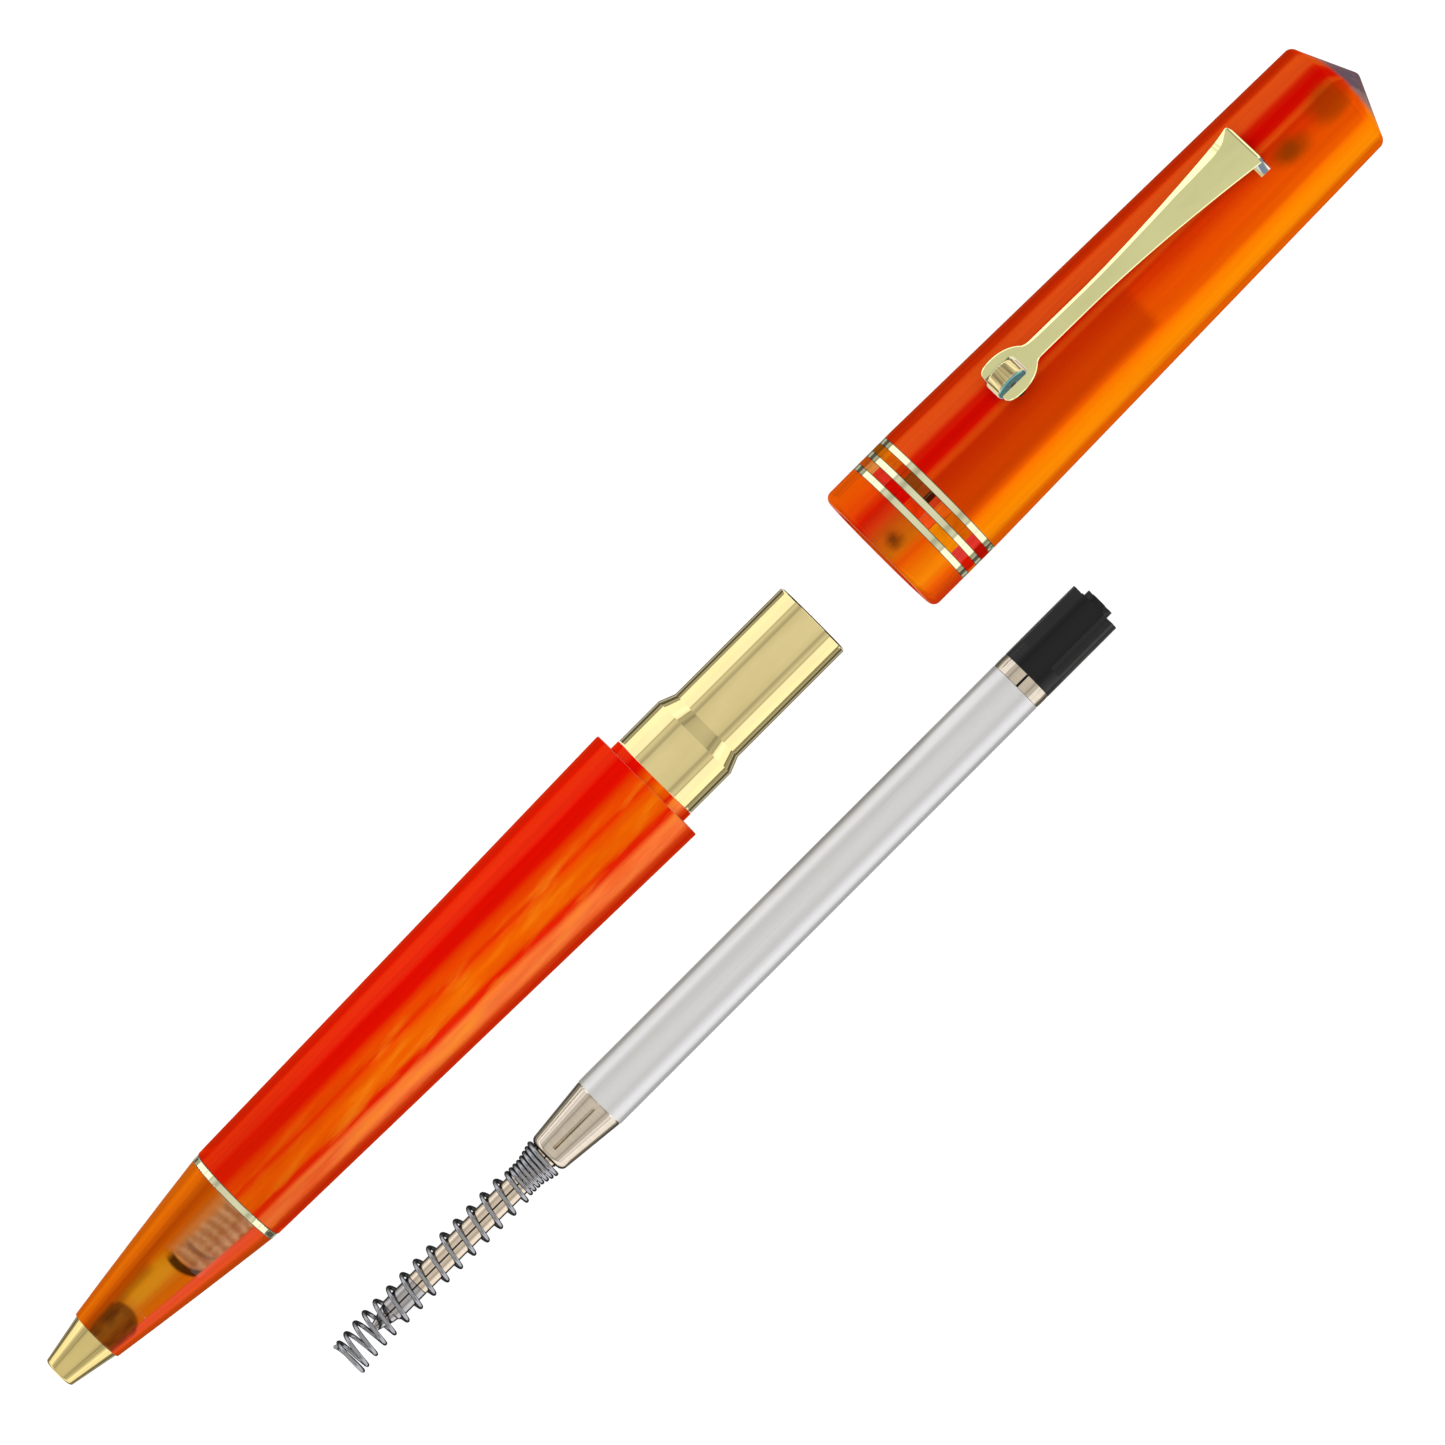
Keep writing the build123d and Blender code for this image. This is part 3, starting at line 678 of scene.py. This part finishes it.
def refill_silver():
    """The refill tube's satin silver lacquer over drawn metal, with painted highlights and shade in bands
    round it.
    """
    s = Shader("refill_silver", Metallic=0.5, Specular_IOR_Level=0.5)
    x = s.spot()[0]
    turn = s.angle(REFILL_Y, REFILL_Z)
    lines = s.noise(s.scaled((x, 40), (turn, 1.3), 0.0), detail=4)
    shade = s.ramp(lines, [(0.3, rgb(222, 222, 222)), (0.7, rgb(236, 236, 235))])
    # painted highlights and shade by the angle round the tube
    level = s.around(turn, [(at, (v, v, v)) for at, v in TUBE_PAINTED_LIGHT])
    s.colour(s.mix(1.0, shade, level, "MULTIPLY"))
    s.rough(s.math("ADD", 0.24, s.math("MULTIPLY", lines, 0.12)))
    return s.material


MOSAIC_1 = [
    (-180, (200, 60, 20)),
    (-135, (200, 20, 6)),
    (-105, (224, 110, 10)),
    (-77, (222, 26, 2)),
    # this block carries the painted highlight of the -Y side light
    (-57, (216, 56, 50)),
    (-42, (236, 132, 2)),
    (-15, (234, 78, 24)),
    (-3, (222, 50, 4)),
    (12, (206, 10, 2)),
    (33, (206, 44, 30)),
    (50, (210, 130, 60)),
    (64, (190, 82, 20)),
    (90, (220, 84, 10)),
    (125, (190, 20, 6)),
    (160, (210, 110, 30)),
]
MOSAIC_2 = [
    (-180, (204, 40, 10)),
    (-150, (150, 60, 12)),
    (-115, (222, 96, 10)),
    (-85, (190, 16, 2)),
    # this block carries the painted highlight of the -Y side light
    (-57, (220, 52, 44)),
    (-43, (206, 92, 2)),
    (-17, (222, 90, 16)),
    (-7, (198, 56, 20)),
    (-1, (66, 20, 4)),
    (5, (150, 60, 14)),
    (12, (138, 62, 12)),
    (26, (186, 50, 4)),
    (36, (206, 88, 8)),
    (52, (206, 104, 8)),
    (64, (146, 78, 10)),
    (98, (220, 70, 10)),
    (140, (170, 24, 6)),
]

CLIP_GILT = clip_gilt()
BRASS = gilt("polished_brass", BRASS_TINT, 0.015)[0].material
STEEL = steel("bright_steel", (172, 174, 178), 0.08)
GREY_STEEL = steel("grey_steel", (190, 187, 186), 0.06, lines=5000, seam=True)
NICKEL = steel("satin_nickel", (228, 216, 196), 0.07, lines=5000)
TAN = steel("tan_nickel", (236, 220, 197), 0.06, lines=5000, seam=True)
DARK_STEEL = steel("dark_steel", (96, 92, 92), 0.2)
BLACK = plastic("black_plastic", (12, 12, 13), 0.2)
WHITE = plastic("white_acetal", (232, 232, 226), 0.35)


def paint(material, *nodes):
    """Give CAD nodes a material."""
    for name in nodes:
        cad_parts[name].data.materials.clear()
        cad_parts[name].data.materials.append(material)


paint(barrel_acrylic(), "barrel", "collar")
paint(cap_acrylic(), "cap_tube")
paint(lip_acrylic(), "cap_lip")
paint(nose_acrylic(), "nose_section")
paint(finial_acrylic(), "finial")
paint(mosaic_acrylic("mosaic_1", MOSAIC_1), "mosaic_band_1")
paint(mosaic_acrylic("mosaic_2", MOSAIC_2), "mosaic_band_2")
paint(CLIP_GILT, "clip")
paint(tip_gilt(), "nose_tip")
for ring in ("trim_ring", "cap_ring_1", "cap_ring_2", "cap_ring_3"):
    paint(ring_gilt(ring + "_gilt", ring), ring)
paint(roller_metal(), "clip_roller")
paint(shell_brass(), "mechanism_shell")
paint(BRASS, "barrel_liner", "stator_tube", "retaining_ring", "clip_anchor")
paint(liner_brass(), "cap_liner")
paint(STEEL, "drive_pin", "point_ball", "finial_screw", "spring")
paint(DARK_STEEL, "clip_axle")
paint(GREY_STEEL, "writing_point")
paint(NICKEL, "refill_shoulder", "coupler", "refill_band")
paint(TAN, "tip_tube")
paint(refill_silver(), "refill_tube")
paint(BLACK, "refill_plug", "shell_end_plug", "ink_column")
paint(WHITE, "cam_sleeve", "thrust_washer", "refill_carriage")

# ---------------------------------------------------------------- pieces built here


def finish_piece(obj, material, body, slot, *nodes):
    """Shade, paint and attach a new piece in place of the CAD nodes it stands for."""
    for face in obj.data.polygons:
        face.use_smooth = True
    obj.data.materials.clear()
    obj.data.materials.append(material)
    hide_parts(*nodes)
    if body:
        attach(obj, body)


def wire(name, points, radius, sides=10):
    """A round wire along a list of points, as a mesh with closed ends."""
    curve = bpy.data.curves.new(name, "CURVE")
    curve.dimensions = "3D"
    curve.bevel_depth = radius
    curve.bevel_resolution = sides // 2 - 1
    curve.use_fill_caps = True
    line = curve.splines.new("POLY")
    line.points.add(len(points) - 1)
    for point, place in zip(line.points, points):
        point.co = (*place, 1)
    holder = bpy.data.objects.new(name, curve)
    mesh = bpy.data.meshes.new_from_object(holder)
    bpy.data.objects.remove(holder)
    obj = bpy.data.objects.new(name, mesh)
    bpy.context.scene.collection.objects.link(obj)
    return obj


WIRE_R = 0.225 * MM
COIL_STEPS = 28  # points in a turn
SPRING_LEAD = 3.7  # how far in front of the ball the spring starts
FREE_END = 1.5  # how far behind the ball the spring stops resting on the tip
FREE_LENGTH = 5.2
DROOP = 0.42 * MM  # how far the free end hangs over FREE_LENGTH
COILS = [  # turns, pitch, radius at the start and at the end of the stretch, in millimetres
    (1.3, 0.5, 1.74, 1.74),
    (3.37, 1.33, 1.74, 1.74),
    (9.75, 1.8, 1.74, 1.74),
    (0.7, 1.0, 1.74, 1.47),
    (3.2, 0.5, 1.47, 1.47),
    (4.15, 0.5, 1.47, 2.0),
]


def spring_points():
    """The spring's centre line: closed coils in front, open ones, then tight coils on the tip tube."""
    x = POINT_X - SPRING_LEAD * MM
    turn = radians(90)
    points = []
    for turns, pitch, r_start, r_end in COILS:
        count = int(turns * COIL_STEPS)
        for i in range(count):
            r = (r_start + (r_end - r_start) * i / count) * MM
            free = max(0.0, (POINT_X + FREE_END * MM - x) / (FREE_LENGTH * MM))
            points.append((x, REFILL_Y + r * sin(turn) - DROOP * free**2, REFILL_Z + r * cos(turn)))
            x += pitch * MM / COIL_STEPS
            turn += 2 * pi / COIL_STEPS
    return points


spring = wire("spring_coils", spring_points(), WIRE_R)
finish_piece(spring, STEEL, None, "steel", "spring")
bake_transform(spring)


def on_clip(x, across, height):
    """A point by its millimetres from the cap's mouth, across the clip and out from the pen's axis."""
    return Vector((CAP_X + x * MM, PEN_Y, PEN_Z)) + ACROSS * across * MM + OUT * height * MM


# The clip's sizes in millimetres, its places counted from the cap's mouth.
CLIP_TOP = 9.7  # from the pen's axis, at the fork
ROOT_TOP = 8.45
CLIP_THICK = 1.15
FORK_END = 18.3
PRONG_ROUND = 0.65
PRONG_STEPS = 7
PRONG_TIP = 1.5
HEAD_X = 19.96
HEAD_LONG = 3.43
HEAD_WIDE = 2.3
HEAD_END = 22.9
NECK_START = 24.2
NECK = 0.96
WIDEN_START = 30.0
TAB_BACK = 51.375
TAB = 2.55
TAB_BOTTOM = 3.2
TAB_STEP = 0.6  # how much narrower the tab is than the blade on its -Y side
TAB_THICK = 0.55
CORNER_R = 0.45
BEND_R = 0.35
BEND_START = TAB_BACK - BEND_R
GAP = 2.45
GAP_END = 21.7
GAP_ROUND = 0.3
FACET_SLOPE = 0.45
EDGE = 0.07
EDGE_DEEP = 0.112
UNDERCUT = 0.42
FACETS = [  # distance from the cap's mouth, and the width of the facet along the clip's +Y side
    (18.3, 0.12),
    (22.5, 0.14),
    (24.5, 0.3),
    (38, 0.42),
    (43, 0.56),
    (46.5, 0.8),
    (48.2, 0.92),
    (49.3, 0.9),
    (50.1, 0.66),
    (50.9, 0.12),
    (99, 0.12),
]


def between_stops(x, stops):
    """A value at x, in a straight line between (x, value) stops."""
    for (x0, v0), (x1, v1) in zip(stops, stops[1:]):
        if x <= x1:
            return v0 + (v1 - v0) * max(0.0, x - x0) / (x1 - x0)
    return stops[-1][1]


def clip_half_width(x):
    """Half the clip's width: rounded prongs, an oval head, a narrow neck, then a blade that flares."""
    if x < FORK_END + PRONG_ROUND:
        t = 1 - (x - FORK_END) / PRONG_ROUND
        return PRONG_TIP + PRONG_ROUND * (1 - t * t) ** 0.5
    if x < HEAD_END:
        return HEAD_WIDE * (1 - ((x - HEAD_X) / HEAD_LONG) ** 2) ** 0.5
    if x < NECK_START:
        start = HEAD_WIDE * (1 - ((HEAD_END - HEAD_X) / HEAD_LONG) ** 2) ** 0.5
        return NECK + (start - NECK) * (1 - (x - HEAD_END) / (NECK_START - HEAD_END)) ** 4
    t = max(0.0, min(1.0, (x - WIDEN_START) / (TAB_BACK - WIDEN_START)))
    return NECK + (TAB - NECK) * t**1.75


def clip_section(x):
    """The clip's section at x: ten (across, depth) points, over the top to +Y, then back below."""
    wide = clip_half_width(x)
    into_corner = max(0.0, min(CORNER_R, x - TAB_BACK + CORNER_R))
    left = wide - CORNER_R + (CORNER_R**2 - into_corner**2) ** 0.5
    facet = between_stops(x, FACETS)
    if x <= GAP_END:
        gap = GAP / 2 - max(0.0, x - GAP_END + GAP_ROUND)
    else:
        gap = 0.4 * (wide - facet)
    right = -wide + (TAB_STEP if x > BEND_START else 0.0)
    under = min(UNDERCUT, 0.8 * (wide - gap))
    low = CLIP_THICK if x <= BEND_START else TAB_THICK
    side = [(right + under, low), (right, EDGE_DEEP), (right + EDGE, 0)]
    top = [(-gap, 0), (gap, 0), (left - facet, 0), (left, FACET_SLOPE * facet)]
    return side + top + [(left - under, low), (gap, low), (-gap, low)]


def along_clip(x, depth):
    """Bend the flat clip down at its root: the place and height of a point that deep below its top."""
    slope = (CLIP_TOP - ROOT_TOP) / (TAB_BACK - FORK_END)
    arc = BEND_R * pi / 2
    if x <= BEND_START:
        return x, CLIP_TOP - slope * (x - FORK_END) - depth
    if x <= BEND_START + arc:
        turn = (x - BEND_START) / BEND_R
        r = BEND_R - depth
        return BEND_START + r * sin(turn), ROOT_TOP - BEND_R + r * cos(turn)
    return TAB_BACK - depth, ROOT_TOP - BEND_R - (x - BEND_START - arc)


def spread(start, stop, step):
    """Even places from start up to, but not at, stop."""
    count = max(1, round((stop - start) / step))
    return [start + (stop - start) * i / count for i in range(count)]


def clip_places():
    """Where the clip's sections stand, closer together where its outline turns."""
    turns = [pi / 2 * i / PRONG_STEPS for i in range(PRONG_STEPS)]
    places = [FORK_END + PRONG_ROUND * (1 - cos(turn)) for turn in turns]
    arc_end = BEND_START + BEND_R * pi / 2
    stretches = [  # where each stretch starts, and the step between its sections
        (FORK_END + PRONG_ROUND, 0.25),
        (GAP_END - GAP_ROUND, 0.1),
        (GAP_END, 0.2),
        (HEAD_END, 0.13),
        (NECK_START, 0.5),
        (TAB_BACK - CORNER_R, 0.05),
        (BEND_START, 0.07),
        (arc_end, None),
    ]
    for (start, step), (stop, _) in zip(stretches, stretches[1:]):
        places += spread(start, stop, step)
    return places + [arc_end, arc_end + ROOT_TOP - BEND_R - TAB_BOTTOM]


def clip_mesh():
    """A blade with a long facet along one side, a forked head and a tab that bends down into the cap.

    In the fork the section is two loops: its points 3 to 4 and 8 to 9 aren't joined.
    """
    mesh = bmesh.new()
    rings = []
    for x in clip_places():
        points = []
        for across, depth in clip_section(x):
            place, height = along_clip(x, depth)
            points.append(mesh.verts.new(on_clip(place, across, height)))
        rings.append((x, points))
    for (x, ring), (_, after) in zip(rings, rings[1:]):
        open_gap = x < GAP_END - 1e-6
        pairs = [(k, (k + 1) % 10) for k in range(10) if not (open_gap and k in (3, 8))]
        if open_gap:
            pairs += [(3, 9), (8, 4)]
        for a, b in pairs:
            mesh.faces.new((ring[a], ring[b], after[b], after[a]))
        if abs(x - GAP_END) < 1e-6:
            mesh.faces.new([ring[k] for k in (3, 4, 8, 9)])
    first, last = rings[0][1], rings[-1][1]
    mesh.faces.new([first[k] for k in (0, 1, 2, 3, 9)])
    mesh.faces.new([first[k] for k in (4, 5, 6, 7, 8)])
    mesh.faces.new(last)
    bmesh.ops.recalc_face_normals(mesh, faces=mesh.faces)
    data = bpy.data.meshes.new("clip_blade")
    mesh.to_mesh(data)
    mesh.free()
    obj = bpy.data.objects.new("clip_blade", data)
    bpy.context.scene.collection.objects.link(obj)
    return obj


def flat_and_round(obj, angle):
    """Shade smoothly, but keep edges sharper than an angle."""
    mesh = bmesh.new()
    mesh.from_mesh(obj.data)
    for edge in mesh.edges:
        edge.smooth = len(edge.link_faces) == 2 and edge.calc_face_angle() < radians(angle)
    for face in mesh.faces:
        face.smooth = True
    mesh.to_mesh(obj.data)
    mesh.free()


CLIP_CREASE = 19  # degrees between faces that keep a hard edge
CAD_CREASE = 32

clip = clip_mesh()
finish_piece(clip, CLIP_GILT, "clip", "gilt", "clip")
flat_and_round(clip, CLIP_CREASE)
clip.modifiers.new("weighted", "WEIGHTED_NORMAL").keep_sharp = True

for name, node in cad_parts.items():
    if name not in ("spring", "clip"):
        flat_and_round(node, CAD_CREASE)

# ---------------------------------------------------------------- stage, lights and camera


def slab(name, low, high, z, material):
    """A flat rectangle of the stage."""
    mesh = bpy.data.meshes.new(name)
    corners = [(low[0], low[1], z), (high[0], low[1], z), (high[0], high[1], z), (low[0], high[1], z)]
    mesh.from_pydata(corners, [], [(0, 1, 2, 3)])
    mesh.materials.append(material)
    obj = bpy.data.objects.new(name, mesh)
    bpy.context.scene.collection.objects.link(obj)
    return obj


def softbox(name, place, aim, size, power):
    data = bpy.data.lights.new(name, "AREA")
    data.shape = "RECTANGLE"
    data.size, data.size_y = size
    data.energy = power
    obj = bpy.data.objects.new(name, data)
    obj.location = place
    obj.rotation_mode = "QUATERNION"
    obj.rotation_quaternion = (Vector(aim) - Vector(place)).to_track_quat("-Z", "Y")
    obj.visible_camera = False
    bpy.context.scene.collection.objects.link(obj)
    return obj


FLOOR_HALF = 2
FLOOR_Z = -0.02 * MM
FLOOR_GLOW = 0.86
FLOOR = Shader("floor_white", Roughness=0.9, Specular_IOR_Level=0.0)
FLOOR.colour((0.3, 0.3, 0.3, 1))
FLOOR.skin.inputs["Emission Color"].default_value = (0.98, 0.98, 1.0, 1)
FLOOR.skin.inputs["Emission Strength"].default_value = FLOOR_GLOW
slab("floor", (-FLOOR_HALF, -FLOOR_HALF), (FLOOR_HALF, FLOOR_HALF), FLOOR_Z, FLOOR.material)

# Strips on the floor that only reflections see. Each is the floor that a round part mirrors
# between two angles of its surface from straight up, with how bright it is there.
EDGE_BANDS = [
    (90, 78.5, 0.2),
    (78.5, 72.5, 0.46),
    (72.5, 65.5, 0.1),
    (65.5, 63, 0.46),
    (63, 59, 0.36),
]
SPRING_BANDS = [(180, 62, 0.1)]
CARDS = [  # first and last node along X, and the radius in millimetres; later cards lie on top
    ("nose_tip", "nose_section", 3.6, EDGE_BANDS),
    ("barrel", "barrel", 6.1, EDGE_BANDS),
    ("cap_lip", "finial", 7.1, EDGE_BANDS),
    ("spring", "tip_tube", 1.3, SPRING_BANDS),
    ("refill_shoulder", "refill_shoulder", 2.45, EDGE_BANDS),
    ("refill_tube", "refill_plug", 2.86, EDGE_BANDS),
    ("mechanism_shell", "mechanism_shell", 4.2, EDGE_BANDS),
    ("cap_ring_1", "cap_ring_3", 7.3, EDGE_BANDS),
]


def plain(name, level):
    """An even tone that only reflections see."""
    s = Shader(name, Roughness=1.0, Base_Color=(0, 0, 0, 1), Specular_IOR_Level=0.0)
    s.skin.inputs["Emission Color"].default_value = (1, 0.98, 0.9, 1)
    s.skin.inputs["Emission Strength"].default_value = level
    return s.material


CARD_LEAD = 40 * MM  # the nose leans its reflections forward
CARD_Z = 0.01  # the lowest card's height in millimetres
CARD_LAYER = 0.004  # how much higher each next part's cards lie


def mirrored(angle, radius, height):
    """How far from its axis a round part mirrors the floor, at an angle from straight up."""
    if angle >= 180:
        return 0.0
    a = radians(angle)
    return radius * sin(a) + (height + radius * cos(a)) * tan(pi - 2 * a)


def reflection_only(obj):
    obj.visible_camera = False
    obj.visible_diffuse = False
    obj.visible_shadow = False
    obj.visible_transmission = False


def floor_cards(number, start, stop, axis_y, axis_z, radius, bands):
    """Toned strips on the floor at both sides of a round part, which darken its mirrored edges."""
    height = (CARD_Z + CARD_LAYER * number) * MM
    for band, (first, last, level) in enumerate(bands):
        near, far = mirrored(first, radius, axis_z), mirrored(last, radius, axis_z)
        for side in (-1, 1):
            y_low, y_high = sorted((axis_y + side * near, axis_y + side * far))
            tone = bpy.data.materials.get(f"floor_tone_{level}") or plain(f"floor_tone_{level}", level)
            card = slab(f"card_{number}_{band}_{side + 1}", (start, y_low), (stop, y_high), height, tone)
            reflection_only(card)


for number, (first, last, radius, bands) in enumerate(CARDS):
    y, z = centre(last).yz
    start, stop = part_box(first)[0].x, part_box(last)[1].x
    if first == "nose_tip":
        start -= CARD_LEAD
    floor_cards(number, start, stop, y, z, radius * MM, bands)

FILL_SIZE = 1.2
FILL_HEIGHT = 1.3
FILL_POWER = 9.0
fill = softbox("overhead_fill", (0, 0, FILL_HEIGHT), (0, 0, 0), (FILL_SIZE, FILL_SIZE), FILL_POWER)
fill.visible_glossy = False


def studio_sky():
    """Soft light by direction: a broad panel overhead, a dark gap, then bright side panels."""
    world = bpy.data.worlds.new("studio")
    world.use_nodes = True
    bpy.context.scene.world = world
    s = Nodes(world.node_tree)
    split = s.node("SeparateXYZ")
    s.feed(split.inputs[0], s.node("TexCoord").outputs["Generated"])
    x, y, z = split.outputs
    side = s.math("DIVIDE", s.math("ARCTAN2", s.math("ABSOLUTE", y), z), pi)
    end = s.math("DIVIDE", s.math("ARCTAN2", s.math("ABSOLUTE", x), z), pi)
    sky = world.node_tree.nodes["Background"]
    by_side, by_end = s.ramp(side, panels(SIDE_PANELS)), s.ramp(end, panels(END_PANELS))
    s.feed(sky.inputs["Color"], s.mix(1.0, by_side, by_end, "MULTIPLY"))


def panels(stops):
    """Ramp stops from (degrees from straight up, brightness, tint)."""
    return [(at / 180, tuple(level * t for t in tint) + (1,)) for at, level, tint in stops]


WARM = (1.0, 0.975, 0.95)
COOL = (1.0, 1.0, 1.06)
PLAIN = (1.0, 1.0, 1.0)
SIDE_PANELS = [
    (0, 0.74, WARM),
    (26, 0.72, WARM),
    (40, 0.66, WARM),
    (45, 0.44, WARM),
    (50, 0.5, WARM),
    (56, 0.68, WARM),
    (60, 0.71, WARM),
    (64, 0.56, WARM),
    (66, 0.6, WARM),
    (67.5, 1.1, COOL),
    (180, 1.1, COOL),
]
END_PANELS = [
    (0, 1.0, PLAIN),
    (30, 1.0, PLAIN),
    (44, 0.8, PLAIN),
    (58, 0.7, PLAIN),
    (66, 1.0, PLAIN),
    (74, 1.25, PLAIN),
    (100, 1.0, PLAIN),
    (180, 1.0, PLAIN),
]
studio_sky()

MIRRORED = ("writing_point", "tip_tube", "refill_shoulder", "refill_band")
ACRYLIC = (
    "barrel",
    "collar",
    "nose_section",
    "cap_tube",
    "cap_lip",
    "finial",
    "mosaic_band_1",
    "mosaic_band_2",
)
for name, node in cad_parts.items():
    node.visible_glossy = name in MIRRORED
for name in ACRYLIC:
    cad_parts[name].visible_diffuse = False
clip.visible_glossy = False

CAMERA_HEIGHT = 0.8
CAMERA_PLACE = 88.15, -0.87  # millimetres from the nose's front, and across from the pen's axis
VIEW_WIDTH = 0.137
SENSOR_WIDTH = 36
camera_data = bpy.data.cameras.new("camera")
camera_data.lens = SENSOR_WIDTH * CAMERA_HEIGHT / VIEW_WIDTH
camera_data.clip_start = 0.05
camera = bpy.data.objects.new("camera", camera_data)
along, across = CAMERA_PLACE
camera.location = (NOSE_X + along * MM, PEN_Y + across * MM, PEN_Z + CAMERA_HEIGHT)
camera.rotation_euler = (0, 0, radians(-45))
bpy.context.scene.collection.objects.link(camera)
bpy.context.scene.camera = camera
bpy.context.scene.view_settings.view_transform = "Standard"
